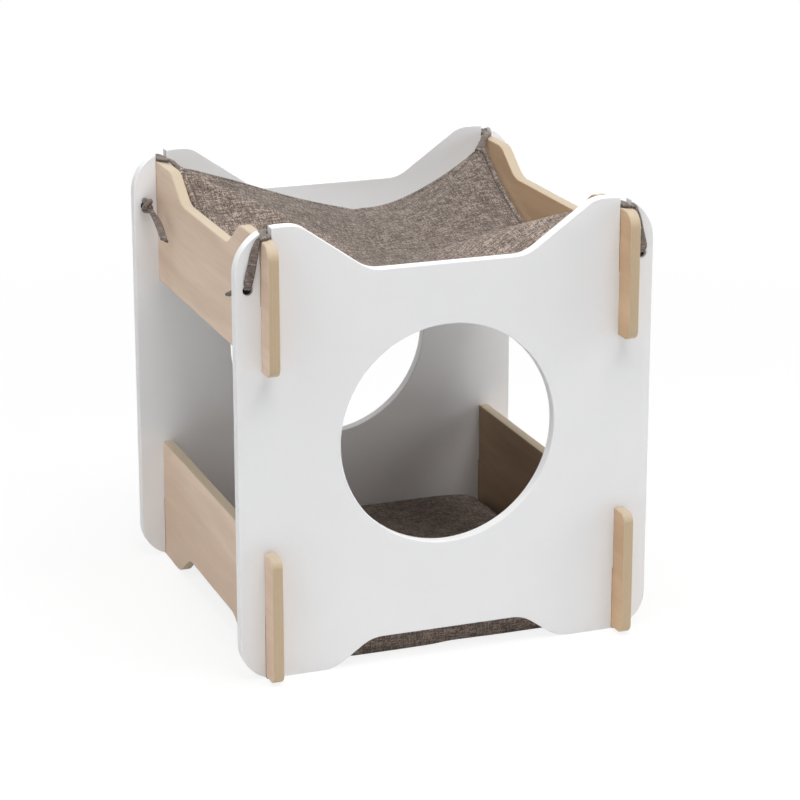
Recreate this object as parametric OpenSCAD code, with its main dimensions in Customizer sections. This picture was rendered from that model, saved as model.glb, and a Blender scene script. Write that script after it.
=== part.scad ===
/* [Overall] */
// Height from the floor to the tips of the panels' ears
height = 450; // [420:1:520]
// Width of the front and rear panels
width = 428; // [400:1:520]
// Depth over the outer faces of the two panels
depth = 372; // [340:1:460]

/* [Boards] */
// Thickness of the white front and rear panels
panel_t = 12; // [9:0.5:16]
// Thickness of the wooden side rails
rail_t = 11; // [8:0.5:15]
// From a panel's side edge to the outer face of a rail
rail_inset = 25; // [20:0.5:34]
// How far a rail's ends stand out of the panels
tab_reach = 24; // [18:0.5:32]
// Free play of a half-lap slot, on each side of its board
slot_play = 0.25; // [0.1:0.05:0.5]

/* [Ears, dips and feet] */
// From a panel's side edge to the top of its slope
panel_ear_w = 62.6; // [58:0.2:72]
// From a panel's outer face to the top of a rail's slope
rail_ear_w = 67.4; // [62:0.2:76]
// Steepness of the slopes beside the dips and arches, in degrees
slope_angle = 35; // [32:1:45]
// How deep the panels' top dip lies below their ears
panel_dip = 50; // [30:1:56]
// How deep the upper rails' top dip lies below their ears
rail_dip = 27; // [15:1:36]
// Height of the arch between two feet
arch_h = 27; // [15:1:36]
// Blend radius at the foot of a dip's slope
dip_r = 36; // [10:1:40]
// Blend radius at the top of a slope, where an ear or a foot begins
ear_r = 28; // [10:1:34]

/* [Outer corners] */
// Radius of a panel's top outer corners
top_corner_r = 45; // [20:1:52]
// Radius of a panel's bottom outer corners
bottom_corner_r = 36; // [15:1:50]
// Radius of an upper rail's top outer corners
rail_ear_r = 16; // [6:1:22]
// Radius of every other corner of a rail's ends
tab_r = 10; // [4:1:14]

/* [Doorway] */
// Diameter of the round doorway in each panel
door_d = 222; // [170:1:250]
// Height of the doorway's centre
door_z = 228.5; // [200:0.5:240]

/* [Rails] */
// Height of the upper rails' straight lower edge
upper_rail_z = 310; // [270:1:330]
// How far the upper rails' ears lie below the panels' ears
ear_step = 11.5; // [7:0.5:16]
// Height of the lower rails' straight upper edge
lower_rail_h = 130; // [100:1:160]
// Gap between the lower rails' ends and the floor
tab_lift = 2; // [1:0.5:5]

/* [Hammock] */
// Thickness of the hemmed double cloth
cloth_t = 3; // [2:0.25:4]
// From the rails' inner faces to the cloth's corners
cloth_side_gap = 7; // [6:0.5:14]
// From the panels' inner faces to the cloth's corners
cloth_end_gap = 20; // [16:0.5:30]
// How far the front and rear hems are drawn in at the middle
hem_bow = 8; // [4:1:16]
// How far the side hems are drawn in at the middle
side_bow = 2.5; // [0:0.5:10]
// How far the rear hem sags below the corners
hem_sag = 58; // [30:1:64]
// How much deeper the front hem sags than the rear one
front_slack = 10; // [0:1:14]
// How far the lowest place lies right of the middle, as a share of half the cloth
sag_shift = 0.22; // [0:0.02:0.25]
// Roundness of the lowest place, as a share of half the cloth
sag_round = 0.13; // [0.04:0.01:0.2]
// Sharpness of the tension ridges that run in from the corners
ridge_sharp = 4; // [2:0.5:8]
// Height of the taut fold that runs from the middle to the front right corner
fold_h = 11; // [0:0.5:14]
// Half width of that fold, as a share of half the cloth
fold_w = 0.14; // [0.1:0.01:0.25]
// From the rails' ear tops down to the cloth's corners
corner_drop = 4.5; // [2:0.5:8]

/* [Straps] */
// Width of a corner strap
strap_w = 9; // [6:0.5:9.5]
// Thickness of a corner strap
strap_t = 3.2; // [2:0.2:3.4]
// Diameter of the strap holes
strap_hole_d = 10; // [10:0.5:13]
// Height of the strap holes
strap_hole_z = 391.5; // [380:0.5:394]
// Ring diameter of the knot behind a strap hole
knot_d = 10.5; // [8:0.5:11]
// Clearance between a strap and the board that it lies on
strap_gap = 0.3; // [0.2:0.1:0.6]
// Clearance between a strap and each side of the slot that it is gathered in
slot_gap = 0.7; // [0.4:0.1:1.2]
// How far a strap reaches under the cloth's corner, where it is sewn on
sewn_lap = 7; // [4:0.5:12]
// How far a strap's loose tail reaches into the house
tail_reach = 54; // [20:1:58]
// How far a strap's loose tail hangs down
tail_drop = 23; // [10:1:35]

/* [Floor cushion] */
// Thickness of the cushion beside its edges
cushion_h = 34; // [24:1:46]
// How much higher the cushion's middle is
cushion_crown = 7; // [2:1:14]
// Gap between the cushion and each side rail
cushion_side_gap = 0.5; // [0.4:0.1:0.9]
// Gap between the cushion and each panel
cushion_end_gap = 2; // [1.5:0.5:6]
// How far the cushion's sides are drawn in at the middle
cushion_waist = 2; // [0.5:0.5:5]
// Radius of the cushion's corners, seen from above
cushion_corner_r = 28; // [15:1:45]
// Thickness of the cushion's sewn cover
cover_t = 1.2; // [0.8:0.1:2]

/* [Hidden] */
$fn = 96;

white = [0.93, 0.93, 0.94];
oak = [0.80, 0.69, 0.56];
cloth = [0.50, 0.45, 0.40];
arc_steps = 8;
skin = 1;

// Places worked out from the sizes above
panel_y = depth / 2 - panel_t / 2;
rail_x = width / 2 - rail_inset - rail_t / 2;
rail_inner_x = rail_x - rail_t / 2;
panel_inner_y = depth / 2 - panel_t;
rail_end_y = depth / 2 + tab_reach;
rail_ear_z = height - ear_step;
upper_lap_z = (upper_rail_z + rail_ear_z) / 2;
lower_lap_z = lower_rail_h / 2;
strap_hole_x = width / 2 - rail_inset / 2;

// Point on the way from p towards q, at distance d
function toward(p, q, d) = p + (q - p) * (d / norm(q - p));

// Arc of radius r that rounds the corner p between a and b
function corner_arc(a, p, b, r) =
    let (
        u = (a - p) / norm(a - p),
        v = (b - p) / norm(b - p),
        half = acos(u * v) / 2,
        centre = p + (u + v) / norm(u + v) * r / sin(half),
        first = toward(p, a, r / tan(half)) - centre,
        last = toward(p, b, r / tan(half)) - centre,
        start = atan2(first[1], first[0]),
        turn = atan2(last[1], last[0]) - start,
        sweep = turn > 180 ? turn - 360 : turn < -180 ? turn + 360 : turn
    )
    [for (k = [0:arc_steps]) centre + r * [cos(start + sweep * k / arc_steps),
                                           sin(start + sweep * k / arc_steps)]];

// Outline whose corners are given as [x, z, radius]
function rounded(corners) =
    let (n = len(corners), at = [for (c = corners) [c[0], c[1]]])
    [for (i = [0:n - 1])
        each corners[i][2] > 0
            ? corner_arc(at[(i + n - 1) % n], at[i], at[(i + 1) % n], corners[i][2])
            : [at[i]]];

// Both halves of an outline from the corners of its right half
function both_halves(right) =
    concat(right, [for (i = [len(right) - 1:-1:0]) [-right[i][0], right[i][1], right[i][2]]]);

// Run of a slope that rises by h
function slope_run(h) = h / tan(slope_angle);

// Half of the flat stretch of the dips and arches, up to the slope's corner
panel_flat = width / 2 - panel_ear_w - slope_run(panel_dip);
rail_flat = depth / 2 - rail_ear_w - slope_run(rail_dip);

// Corners of the arch under a board, whose flat stretch ends at half
function arch_corners(half) = [[half, arch_h, dip_r], [half + slope_run(arch_h), 0, dip_r]];

panel_outline = rounded(both_halves(concat(arch_corners(panel_flat), [
    [width / 2, 0, bottom_corner_r],
    [width / 2, height, top_corner_r],
    [panel_flat + slope_run(panel_dip), height, ear_r],
    [panel_flat, height - panel_dip, dip_r]
])));

upper_rail_outline = rounded(both_halves([
    [rail_end_y, upper_rail_z, tab_r],
    [rail_end_y, rail_ear_z, rail_ear_r],
    [rail_flat + slope_run(rail_dip), rail_ear_z, ear_r],
    [rail_flat, rail_ear_z - rail_dip, dip_r]
]));

lower_rail_outline = rounded(both_halves(concat(arch_corners(rail_flat), [
    [depth / 2 + slot_play, 0, 0],
    [depth / 2 + tab_lift, tab_lift, 0],
    [rail_end_y, tab_lift, tab_r],
    [rail_end_y, lower_rail_h, tab_r]
])));

// Board stood up across Y, its outline given in X and Z
module board_across(outline, t) {
    rotate([90, 0, 0])
        linear_extrude(height = t, center = true)
            polygon(outline);
}

// Board stood up along Y, its outline given in Y and Z
module board_along(outline, t) {
    rotate([90, 0, 90])
        linear_extrude(height = t, center = true)
            polygon(outline);
}

module panel() {
    slot_w = rail_t + 2 * slot_play;
    color(white)
        difference() {
            board_across(panel_outline, panel_t);
            translate([0, 0, door_z])
                rotate([90, 0, 0])
                    cylinder(d = door_d, h = panel_t + 2 * skin, center = true, $fn = 180);
            for (side = [-1, 1]) {
                translate([side * rail_x - slot_w / 2, -panel_t / 2 - skin, upper_lap_z])
                    cube([slot_w, panel_t + 2 * skin, height]);
                translate([side * rail_x - slot_w / 2, -panel_t / 2 - skin, -skin])
                    cube([slot_w, panel_t + 2 * skin, lower_lap_z + skin]);
                translate([side * strap_hole_x, 0, strap_hole_z])
                    rotate([90, 0, 0])
                        cylinder(d = strap_hole_d, h = panel_t + 2 * skin, center = true);
            }
        }
}

// Notches of a rail's half laps, from z_low to z_high at each panel
module lap_notches(z_low, z_high) {
    notch_w = panel_t + 2 * slot_play;
    for (end = [-1, 1])
        translate([-rail_t / 2 - skin, end * panel_y - notch_w / 2, z_low])
            cube([rail_t + 2 * skin, notch_w, z_high - z_low]);
}

module upper_rail() {
    color(oak)
        difference() {
            board_along(upper_rail_outline, rail_t);
            lap_notches(upper_rail_z - skin, upper_lap_z);
        }
}

module lower_rail() {
    color(oak)
        difference() {
            board_along(lower_rail_outline, rail_t);
            lap_notches(lower_lap_z, lower_rail_h + skin);
        }
}

module front_panel() { translate([0, -panel_y, 0]) panel(); }
module rear_panel() { translate([0, panel_y, 0]) panel(); }
module upper_left_rail() { translate([-rail_x, 0, 0]) upper_rail(); }
module upper_right_rail() { translate([rail_x, 0, 0]) upper_rail(); }
module lower_left_rail() { translate([-rail_x, 0, 0]) lower_rail(); }
module lower_right_rail() { translate([rail_x, 0, 0]) lower_rail(); }

// Hammock cloth, hung from its corners; u and v run from -1 to 1 across it
cloth_half_x = rail_inner_x - cloth_side_gap;
cloth_half_y = panel_inner_y - cloth_end_gap;
cloth_corner_z = rail_ear_z - corner_drop;
cloth_steps = 22;

// Share of the full sag at the place w, which is 0 at the middle and 1 at a corner
function sag_of(w) =
    let (rise = (norm([w, sag_round]) - sag_round) / (norm([1, sag_round]) - sag_round))
    max(0, 1 - pow(rise, 1.35));
// Height of the taut fold at u and v
function fold_at(u, v) =
    u <= 0 ? 0 : fold_h * exp(-pow((u + v) / fold_w, 2)) * sin(180 * pow(u, 0.75));
function cloth_point(u, v) =
    let (
        across = sag_of(u - sag_shift * (1 - u * u) * (1 + v) / 2),
        along = sag_of(v),
        slack = pow(pow(across, ridge_sharp) + pow(along, ridge_sharp), 1 / ridge_sharp),
        sag = hem_sag + front_slack * (1 - v) / 2
    )
    [
        u * (cloth_half_x - side_bow * (1 - v * v)),
        v * (cloth_half_y - hem_bow * (1 - u * u)),
        cloth_corner_z - sag * slack + fold_at(u, v)
    ];

// Closed sheet from a grid of points, thickened straight down
module draped_sheet(steps, t) {
    row = steps + 1;
    count = row * row;
    top = [for (j = [0:steps]) for (i = [0:steps]) cloth_point(2 * i / steps - 1, 2 * j / steps - 1)];
    low = [for (p = top) p - [0, 0, t]];
    rim = concat(
        [for (i = [0:steps - 1]) i],
        [for (j = [0:steps - 1]) j * row + steps],
        [for (i = [steps:-1:1]) steps * row + i],
        [for (j = [steps:-1:1]) j * row]
    );
    faces = concat(
        [for (j = [0:steps - 1]) for (i = [0:steps - 1])
            each let (a = j * row + i)
                [[a, a + row, a + 1], [a + 1, a + row, a + row + 1]]],
        [for (j = [0:steps - 1]) for (i = [0:steps - 1])
            each let (a = j * row + i + count)
                [[a, a + 1, a + row], [a + 1, a + row + 1, a + row]]],
        [for (k = [0:len(rim) - 1])
            each let (a = rim[k], b = rim[(k + 1) % len(rim)])
                [[a, b, b + count], [a, b + count, a + count]]]
    );
    polyhedron(points = concat(top, low), faces = faces, convexity = 6);
}

module hammock_cloth() { color(cloth) draped_sheet(cloth_steps, cloth_t); }

// Straps. A route is a list of [point, direction that the strap's face looks, share of its width]
section_sides = 8;
spans = 3;

function unit(a) = a / norm(a);
// Point of a smooth curve between p1 and p2, t of the way along
function smooth(p0, p1, p2, p3, t) =
    0.5 * (2 * p1 + (p2 - p0) * t + (2 * p0 - 5 * p1 + 4 * p2 - p3) * t * t
        + (3 * p1 - p0 - 3 * p2 + p3) * t * t * t);

// Finer route through the hand-placed points
function fine_route(route) =
    let (n = len(route))
    [for (i = [0:n - 2]) for (k = [0:(i == n - 2 ? spans : spans - 1)])
        let (
            a = route[max(0, i - 1)],
            b = route[i],
            c = route[i + 1],
            d = route[min(n - 1, i + 2)],
            t = k / spans
        )
        [smooth(a[0], b[0], c[0], d[0], t), unit(b[1] * (1 - t) + c[1] * t),
         b[2] * (1 - t) + c[2] * t]];

module ribbon(route, w, t) {
    line = fine_route(route);
    n = len(line);
    rings = [for (i = [0:n - 1])
        let (
            ahead = unit(line[min(n - 1, i + 1)][0] - line[max(0, i - 1)][0]),
            across = unit(cross(ahead, line[i][1])),
            up = cross(across, ahead),
            half_w = w * line[i][2] / 2
        )
        for (k = [0:section_sides - 1])
            let (a = 360 * (k + 0.5) / section_sides)
            line[i][0] + across * cos(a) * half_w + up * sin(a) * t / 2];
    faces = concat(
        [[for (k = [section_sides - 1:-1:0]) k]],
        [[for (k = [0:section_sides - 1]) (n - 1) * section_sides + k]],
        [for (i = [0:n - 2]) for (k = [0:section_sides - 1])
            each let (
                a = i * section_sides + k,
                b = i * section_sides + (k + 1) % section_sides
            )
                [[a, b + section_sides, a + section_sides], [a, b, b + section_sides]]]
    );
    polyhedron(points = rings, faces = faces, convexity = 6);
}

// Route of the front left strap: out of the cloth's corner, over the rail and through the slot,
// round the rail's end, down the panel, through the hole to the knot, and the loose tail
over_z = rail_ear_z + strap_gap + strap_t / 2;
face_y = -depth / 2 - strap_gap - strap_t / 2;
knot_y = -panel_inner_y + strap_gap + knot_d * 0.7;
rail_outer_x = rail_x + rail_t / 2;
// From the rail's outer face across to the hole, and from the rail's top down to it
run_x = strap_hole_x - rail_outer_x;
run_z = rail_ear_z - strap_hole_z;
// Share of a strap's width that the slot leaves it
slot_share = (rail_t + 2 * slot_play - 2 * slot_gap) / strap_w;
strap_route = [
    [[-cloth_half_x + sewn_lap, -cloth_half_y + sewn_lap, cloth_corner_z - 0.85 * sewn_lap],
     [0.2, 0.2, 1], 1],
    [[-cloth_half_x, -cloth_half_y, cloth_corner_z], [0.2, 0.2, 1], 1],
    [[-rail_inner_x + 1.8, -cloth_half_y - 5, rail_ear_z + 1.5], [0.5, 0.1, 1], 0.75],
    [[-rail_inner_x - 2.2, -cloth_half_y - 11, over_z + 0.2], [0, 0, 1], 0.85],
    [[-rail_x, -panel_inner_y + 2, over_z + 0.2], [0, 0, 1], slot_share],
    [[-rail_x, -panel_y, over_z + 0.2], [0, 0, 1], slot_share],
    [[-rail_x - 0.4, -depth / 2 + 1, over_z + 0.2], [-0.1, -0.1, 1], 0.9 * slot_share],
    [[-rail_x - 2.6, face_y - 1, over_z + 0.4], [-0.3, -0.4, 1], 0.6],
    [[-rail_outer_x - 2.2, face_y - 1.1, rail_ear_z + 1.2], [-0.8, -1, 0.5], 0.5],
    [[-rail_outer_x - 0.44 * run_x, face_y, rail_ear_z - 0.18 * run_z], [0, -1, 0], 0.85],
    [[-rail_outer_x - 0.8 * run_x, face_y, strap_hole_z + 0.4 * run_z], [0, -1, 0], 1],
    [[-strap_hole_x, face_y, strap_hole_z + 0.16 * run_z], [0, -1, 0], 1],
    [[-strap_hole_x, face_y + 0.5, strap_hole_z + 0.04 * run_z], [0, -1, -0.3], 0.8],
    [[-strap_hole_x, -depth / 2 + strap_t / 2, strap_hole_z], [0, -0.4, -1], 0.8],
    [[-strap_hole_x, knot_y, strap_hole_z], [0, 0, -1], 0.8],
    [[-strap_hole_x + 0.3 * run_x, knot_y + 0.5 * tail_reach, strap_hole_z - 0.5 * tail_drop],
     [0, -0.4, -1], 0.85],
    [[-strap_hole_x + 0.2 * run_x, knot_y + tail_reach, strap_hole_z - tail_drop],
     [0, -0.5, -1], 0.8]
];

// Lump of an overhand knot: two crossing turns round the strap
module knot() {
    translate([-strap_hole_x, knot_y, strap_hole_z]) {
        for (tilt = [-28, 28])
            rotate([90 + tilt, tilt, 0])
                rotate_extrude($fn = 32)
                    translate([knot_d / 2, 0])
                        circle(d = strap_t, $fn = 16);
        sphere(d = knot_d, $fn = 32);
    }
}

module corner_strap() {
    color(cloth)
        union() {
            ribbon(strap_route, strap_w, strap_t);
            knot();
        }
}

module front_left_strap() { corner_strap(); }
module front_right_strap() { mirror([1, 0, 0]) corner_strap(); }
module rear_left_strap() { mirror([0, 1, 0]) corner_strap(); }
module rear_right_strap() { mirror([0, 1, 0]) mirror([1, 0, 0]) corner_strap(); }

// Floor cushion, drawn as rings from its underside round the edge to its crown
cushion_half_x = rail_inner_x - cushion_side_gap;
cushion_half_y = panel_inner_y - cushion_end_gap;
edge_r = cushion_h / 2;
cushion_outline = rounded([
    [cushion_half_x, -cushion_half_y, cushion_corner_r],
    [cushion_half_x - cushion_waist, 0, 0],
    [cushion_half_x, cushion_half_y, cushion_corner_r],
    [0, cushion_half_y - cushion_waist, 0],
    [-cushion_half_x, cushion_half_y, cushion_corner_r],
    [-cushion_half_x + cushion_waist, 0, 0],
    [-cushion_half_x, -cushion_half_y, cushion_corner_r],
    [0, -cushion_half_y + cushion_waist, 0]
]);
ring_points = len(cushion_outline);

function cushion_ring(inset, z) =
    [for (p = cushion_outline)
        [p[0] * (1 - inset / cushion_half_x), p[1] * (1 - inset / cushion_half_y), z]];
// Rings as [inset from the widest line, height], for a wall taken off all round
function cushion_rings(wall) =
    let (r = edge_r - wall)
    concat(
        [for (a = [-90:22.5:90]) [wall + r * (1 - cos(a)), edge_r + r * sin(a)]],
        [for (share = [0.15, 0.35, 0.6, 0.85])
            [edge_r + share * (cushion_half_y - edge_r),
             cushion_h - wall + cushion_crown * sin(90 * share)]]
    );

module cushion_solid(wall) {
    rings = cushion_rings(wall);
    n = len(rings);
    points = concat(
        [for (ring = rings) each cushion_ring(ring[0], ring[1])],
        [[0, 0, wall], [0, 0, cushion_h - wall + cushion_crown]]
    );
    last = n * ring_points;
    faces = concat(
        [for (k = [0:ring_points - 1]) [last, k, (k + 1) % ring_points]],
        [for (i = [0:n - 2]) for (k = [0:ring_points - 1])
            each let (
                a = i * ring_points + k,
                b = i * ring_points + (k + 1) % ring_points
            )
                [[a, a + ring_points, b + ring_points], [a, b + ring_points, b]]],
        [for (k = [0:ring_points - 1])
            [last + 1, (n - 1) * ring_points + (k + 1) % ring_points, (n - 1) * ring_points + k]]
    );
    polyhedron(points = points, faces = faces, convexity = 4);
}

module cushion_cover() {
    color(cloth)
        difference() {
            cushion_solid(0);
            cushion_solid(cover_t);
        }
}

module cushion_filling() { color("white") cushion_solid(cover_t + 0.2); }

front_panel();
rear_panel();
upper_left_rail();
upper_right_rail();
lower_left_rail();
lower_right_rail();
hammock_cloth();
front_left_strap();
front_right_strap();
rear_left_strap();
rear_right_strap();
cushion_cover();
cushion_filling();
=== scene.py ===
"""Looks of a slot-together cat house: lacquered panels, wooden rails, tied hammock and floor cushion."""

from math import acos, atan2, copysign, cos, degrees, exp, hypot, pi, radians, sin, sqrt, tan

import bmesh
import bpy
import numpy as np
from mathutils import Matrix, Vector, noise


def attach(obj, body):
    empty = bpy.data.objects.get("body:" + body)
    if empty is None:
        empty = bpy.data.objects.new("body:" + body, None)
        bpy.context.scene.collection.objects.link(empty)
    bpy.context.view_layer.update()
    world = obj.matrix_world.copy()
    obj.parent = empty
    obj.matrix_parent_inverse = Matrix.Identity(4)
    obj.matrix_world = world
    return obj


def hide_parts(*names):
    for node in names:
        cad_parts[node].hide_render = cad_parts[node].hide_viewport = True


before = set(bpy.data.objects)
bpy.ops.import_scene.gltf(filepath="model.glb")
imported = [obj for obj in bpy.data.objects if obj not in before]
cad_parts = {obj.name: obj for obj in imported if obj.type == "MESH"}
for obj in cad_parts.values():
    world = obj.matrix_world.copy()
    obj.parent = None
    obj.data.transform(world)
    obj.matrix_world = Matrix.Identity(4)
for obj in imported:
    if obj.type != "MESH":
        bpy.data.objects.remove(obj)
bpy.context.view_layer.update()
scene = bpy.context.scene

MM = 0.001

# Sizes of the house in millimetres, as the part's own source has them
HEIGHT, WIDTH, DEPTH = 450, 428, 372
PANEL_T, RAIL_T = 12, 11
RAIL_INSET, TAB_REACH, SLOT_PLAY = 25, 24, 0.25
PANEL_EAR_W, RAIL_EAR_W = 62.6, 67.4
SLOPE_ANGLE = 35
PANEL_DIP, RAIL_DIP, ARCH_H = 50, 27, 27
DIP_R, EAR_R = 36, 28
TOP_CORNER_R, BOTTOM_CORNER_R, RAIL_EAR_R, TAB_R = 45, 36, 16, 10
DOOR_R, DOOR_Z = 111, 228.5
UPPER_RAIL_Z, LOWER_RAIL_H, TAB_LIFT, EAR_STEP = 310, 130, 2, 11.5
HOLE_R, HOLE_Z = 5, 391.5
STRAP_W, STRAP_T, STRAP_GAP, KNOT_D = 9, 3.2, 0.3, 10.5
CLOTH_T, CLOTH_IN_X, CLOTH_IN_Y, CLOTH_DROP = 3, 7, 20, 4.5
HEM_BOW, SIDE_BOW, HEM_SAG, FRONT_SLACK = 8, 2.5, 58, 10

PANEL_Y = DEPTH / 2 - PANEL_T / 2
PANEL_INNER_Y = DEPTH / 2 - PANEL_T
RAIL_X = WIDTH / 2 - RAIL_INSET - RAIL_T / 2
RAIL_INNER_X = RAIL_X - RAIL_T / 2
RAIL_OUTER_X = RAIL_X + RAIL_T / 2
RAIL_EAR_Z = HEIGHT - EAR_STEP
HOLE_X = WIDTH / 2 - RAIL_INSET / 2
CLOTH_HALF_X = RAIL_INNER_X - CLOTH_IN_X
CLOTH_HALF_Y = PANEL_INNER_Y - CLOTH_IN_Y
CLOTH_CORNER_Z = RAIL_EAR_Z - CLOTH_DROP

# Seam of the hammock's hem, in from its edge
SEAM_INSET = 5.2


# Camera at the photograph's viewing angle, fitted to the boards' edges, slots and doorway

CAMERA_PLACE = (-0.90966, -2.49407, 1.05253)
CAMERA_YAW, CAMERA_PITCH = radians(20.412), radians(15.959)
FOCAL_PX, IMAGE_PX, SENSOR_MM, LENS_SHIFT = 2691.65, 800, 36, -0.1


def set_up(name, data, place, looks):
    """Adds a camera or lamp that looks along a direction."""
    made = bpy.data.objects.new(name, data)
    made.location = place
    made.rotation_euler = Vector(looks).to_track_quat("-Z", "Y").to_euler()
    scene.collection.objects.link(made)
    return made


def set_camera():
    """The scene's camera."""
    data = bpy.data.cameras.new("camera")
    data.sensor_width = SENSOR_MM
    data.lens = FOCAL_PX / IMAGE_PX * SENSOR_MM
    data.shift_y = LENS_SHIFT
    data.clip_start, data.clip_end = 0.1, 60
    looks = (sin(CAMERA_YAW) * cos(CAMERA_PITCH), cos(CAMERA_YAW) * cos(CAMERA_PITCH), -sin(CAMERA_PITCH))
    scene.camera = set_up("camera", data, CAMERA_PLACE, looks)


set_camera()


# Node trees

def feed(node, **values):
    """Fills a node or other data. i0, i1... and capitalised names are inputs, which link to a socket
    and take any other value, colours as three numbers. The other names are settings."""
    for key, value in values.items():
        if not (key[1:].isdigit() or key[0].isupper()):
            setattr(node, key, value)
            continue
        socket = node.inputs[int(key[1:]) if key[1:].isdigit() else key.replace("_", " ")]
        if isinstance(value, bpy.types.NodeSocket):
            node.id_data.links.new(value, socket)
        else:
            socket.default_value = (*value, 1) if socket.type == "RGBA" else value


def put(kind, tree=None, **values):
    """Adds a shader node, as a rule to the tree of the sockets that feed it."""
    if tree is None:
        tree = next(v.id_data for v in values.values() if isinstance(v, bpy.types.NodeSocket))
    made = tree.nodes.new("ShaderNode" + kind)
    feed(made, **values)
    return made


def calc(operation, a, b=0, c=0):
    """Result of one arithmetic step."""
    return put("Math", operation=operation, i0=a, i1=b, i2=c).outputs[0]


def times(a, b):
    """Product of two numbers."""
    return calc("MULTIPLY", a, b)


def plus(a, b):
    """Sum of two numbers."""
    return calc("ADD", a, b)


def minus(a, b):
    """Difference of two numbers."""
    return calc("SUBTRACT", a, b)


def size_of(a):
    """Number without its sign."""
    return calc("ABSOLUTE", a)


def blend_numbers(share, a, b):
    """Mix of two numbers."""
    return put("Mix", i0=share, i2=a, i3=b).outputs[0]


def blend(share, a, b):
    """Mix of two colours."""
    return put("Mix", data_type="RGBA", i0=share, i6=a, i7=b).outputs[2]


def band(value, low, high, to_low=0, to_high=1):
    """Value brought from low..high to to_low..to_high, with soft ends."""
    return put("MapRange", interpolation_type="SMOOTHSTEP",
               i0=value, i1=low, i2=high, i3=to_low, i4=to_high).outputs[0]


def split(vector):
    """The three numbers of a vector."""
    return put("SeparateXYZ", i0=vector).outputs


def joined(x, y, z=0):
    """Vector from three numbers."""
    return put("CombineXYZ", i0=x, i1=y, i2=z).outputs[0]


def scaled(vector, by):
    """Vector times the three numbers of by."""
    return put("VectorMath", operation="MULTIPLY", i0=vector, i1=by).outputs[0]


def toned(colour, by):
    """Colour made darker or paler by a number."""
    return scaled(colour, joined(by, by, by))


def speckle(vector, scale=1, detail=2, rough=0.5, dims="3D"):
    """Soft random value from 0 to 1."""
    return put("TexNoise", noise_dimensions=dims,
               Vector=vector, Scale=scale, Detail=detail, Roughness=rough).outputs[0]


def relief(height, depth):
    """Normal of a surface with a relief, whose depth is in metres."""
    return put("Bump", Height=height, Distance=depth).outputs[0]


def new_effect(name, outputs, **inputs):
    """Empty node group with named sockets, and its inputs and its output node."""
    tree = bpy.data.node_groups.new(name, "ShaderNodeTree")
    for in_out, sockets in (("INPUT", inputs), ("OUTPUT", outputs)):
        for label, kind in sockets.items():
            tree.interface.new_socket(name=label, in_out=in_out, socket_type="NodeSocket" + kind)
    return tree, tree.nodes.new("NodeGroupInput").outputs, tree.nodes.new("NodeGroupOutput")


def melange_weave():
    """Plain weave of two-tone yarn. Its vector lies on the cloth, in metres, and Rib is the depth
    of the cross ribs of a strip that is pulled tight."""
    tree, given, result = new_effect(
        "melange_weave", {"Color": "Color", "Height": "Float"}, Place="Vector", Thread="Float",
        Dark="Color", Middle="Color", Light="Color", Slub="Float", Rib="Float")
    across, along = (calc("DIVIDE", part, given["Thread"]) for part in split(given["Place"])[:2])
    waver = speckle(joined(across, along), 0.05, 1, dims="2D")
    across = plus(across, times(waver, 0.6))
    along = plus(along, times(waver, -0.5))
    warp_number, weft_number = calc("FLOOR", across), calc("FLOOR", along)
    over = calc("PINGPONG", plus(warp_number, weft_number), 1)

    def yarn(number, run, shift):
        """Tone of one yarn: long thick and thin places with short flecks between them."""
        row = calc("MULTIPLY_ADD", number, 17.37, shift)
        slubs = speckle(joined(row, times(run, 0.1)), 1, 1, dims="2D")
        flecks = speckle(joined(row, times(run, 0.45)), dims="2D")
        return plus(times(slubs, 0.5), times(flecks, 0.5))

    def roundness(side):
        """Height of a yarn across its width."""
        return calc("SINE", times(calc("FRACT", side), pi))

    def crown(high, low):
        """Height of a yarn that bows over the one under it."""
        return times(high, calc("MULTIPLY_ADD", low, 0.6, 0.4))

    warp_round, weft_round = roundness(across), roundness(along)
    tone = blend_numbers(calc("MULTIPLY_ADD", over, 0.56, 0.3),
                         yarn(warp_number, along, 3.1), yarn(weft_number, across, 91.7))
    height = blend_numbers(over, crown(warp_round, weft_round), crown(weft_round, warp_round))
    ribs = times(weft_round, given["Rib"])
    between_ribs = times(height, minus(1, given["Rib"]))
    height = plus(between_ribs, ribs)
    spread = calc("MULTIPLY_ADD", minus(tone, 0.5), given["Slub"], 0.5)
    low = blend(band(spread, 0.25, 0.5), given["Dark"], given["Middle"])
    colour = blend(band(spread, 0.5, 0.75), low, given["Light"])
    # Where the yarns dip under each other their colour is darkened, as painted shade between them
    shade = calc("MULTIPLY_ADD", height, 0.62, 0.55)
    feed(result, Color=toned(colour, shade), Height=height)
    return tree


def veneer_grain():
    """Fine straight grain that runs along the rails, with soft broad figure. Its vector is in metres."""
    tree, given, result = new_effect(
        "veneer_grain", {"Color": "Color", "Height": "Float"}, Place="Vector",
        Pale="Color", Warm="Color", Streak="Color")
    bend = speckle(scaled(given["Place"], (6, 2.2, 6)))
    drift = put("VectorMath", operation="MULTIPLY_ADD",
                i0=joined(bend, 0, bend), i1=(0.02, 0, 0.035), i2=given["Place"]).outputs[0]
    figure = speckle(scaled(drift, (30, 2.6, 30)), 1, 3, 0.55)
    fibre = speckle(scaled(drift, (420, 18, 420)), 1, 3, 0.6)
    pores = speckle(scaled(drift, (900, 90, 900)), 1, 1)
    colour = blend(band(figure, 0.32, 0.68), given["Pale"], given["Warm"])
    streaks = times(band(fibre, 0.45, 0.8), 0.14)
    flecks = times(band(pores, 0.62, 0.75), 0.12)
    for share in (streaks, flecks):
        colour = blend(share, colour, given["Streak"])
    feed(result, Color=colour, Height=minus(fibre, times(flecks, 0.8)))
    return tree


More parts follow.
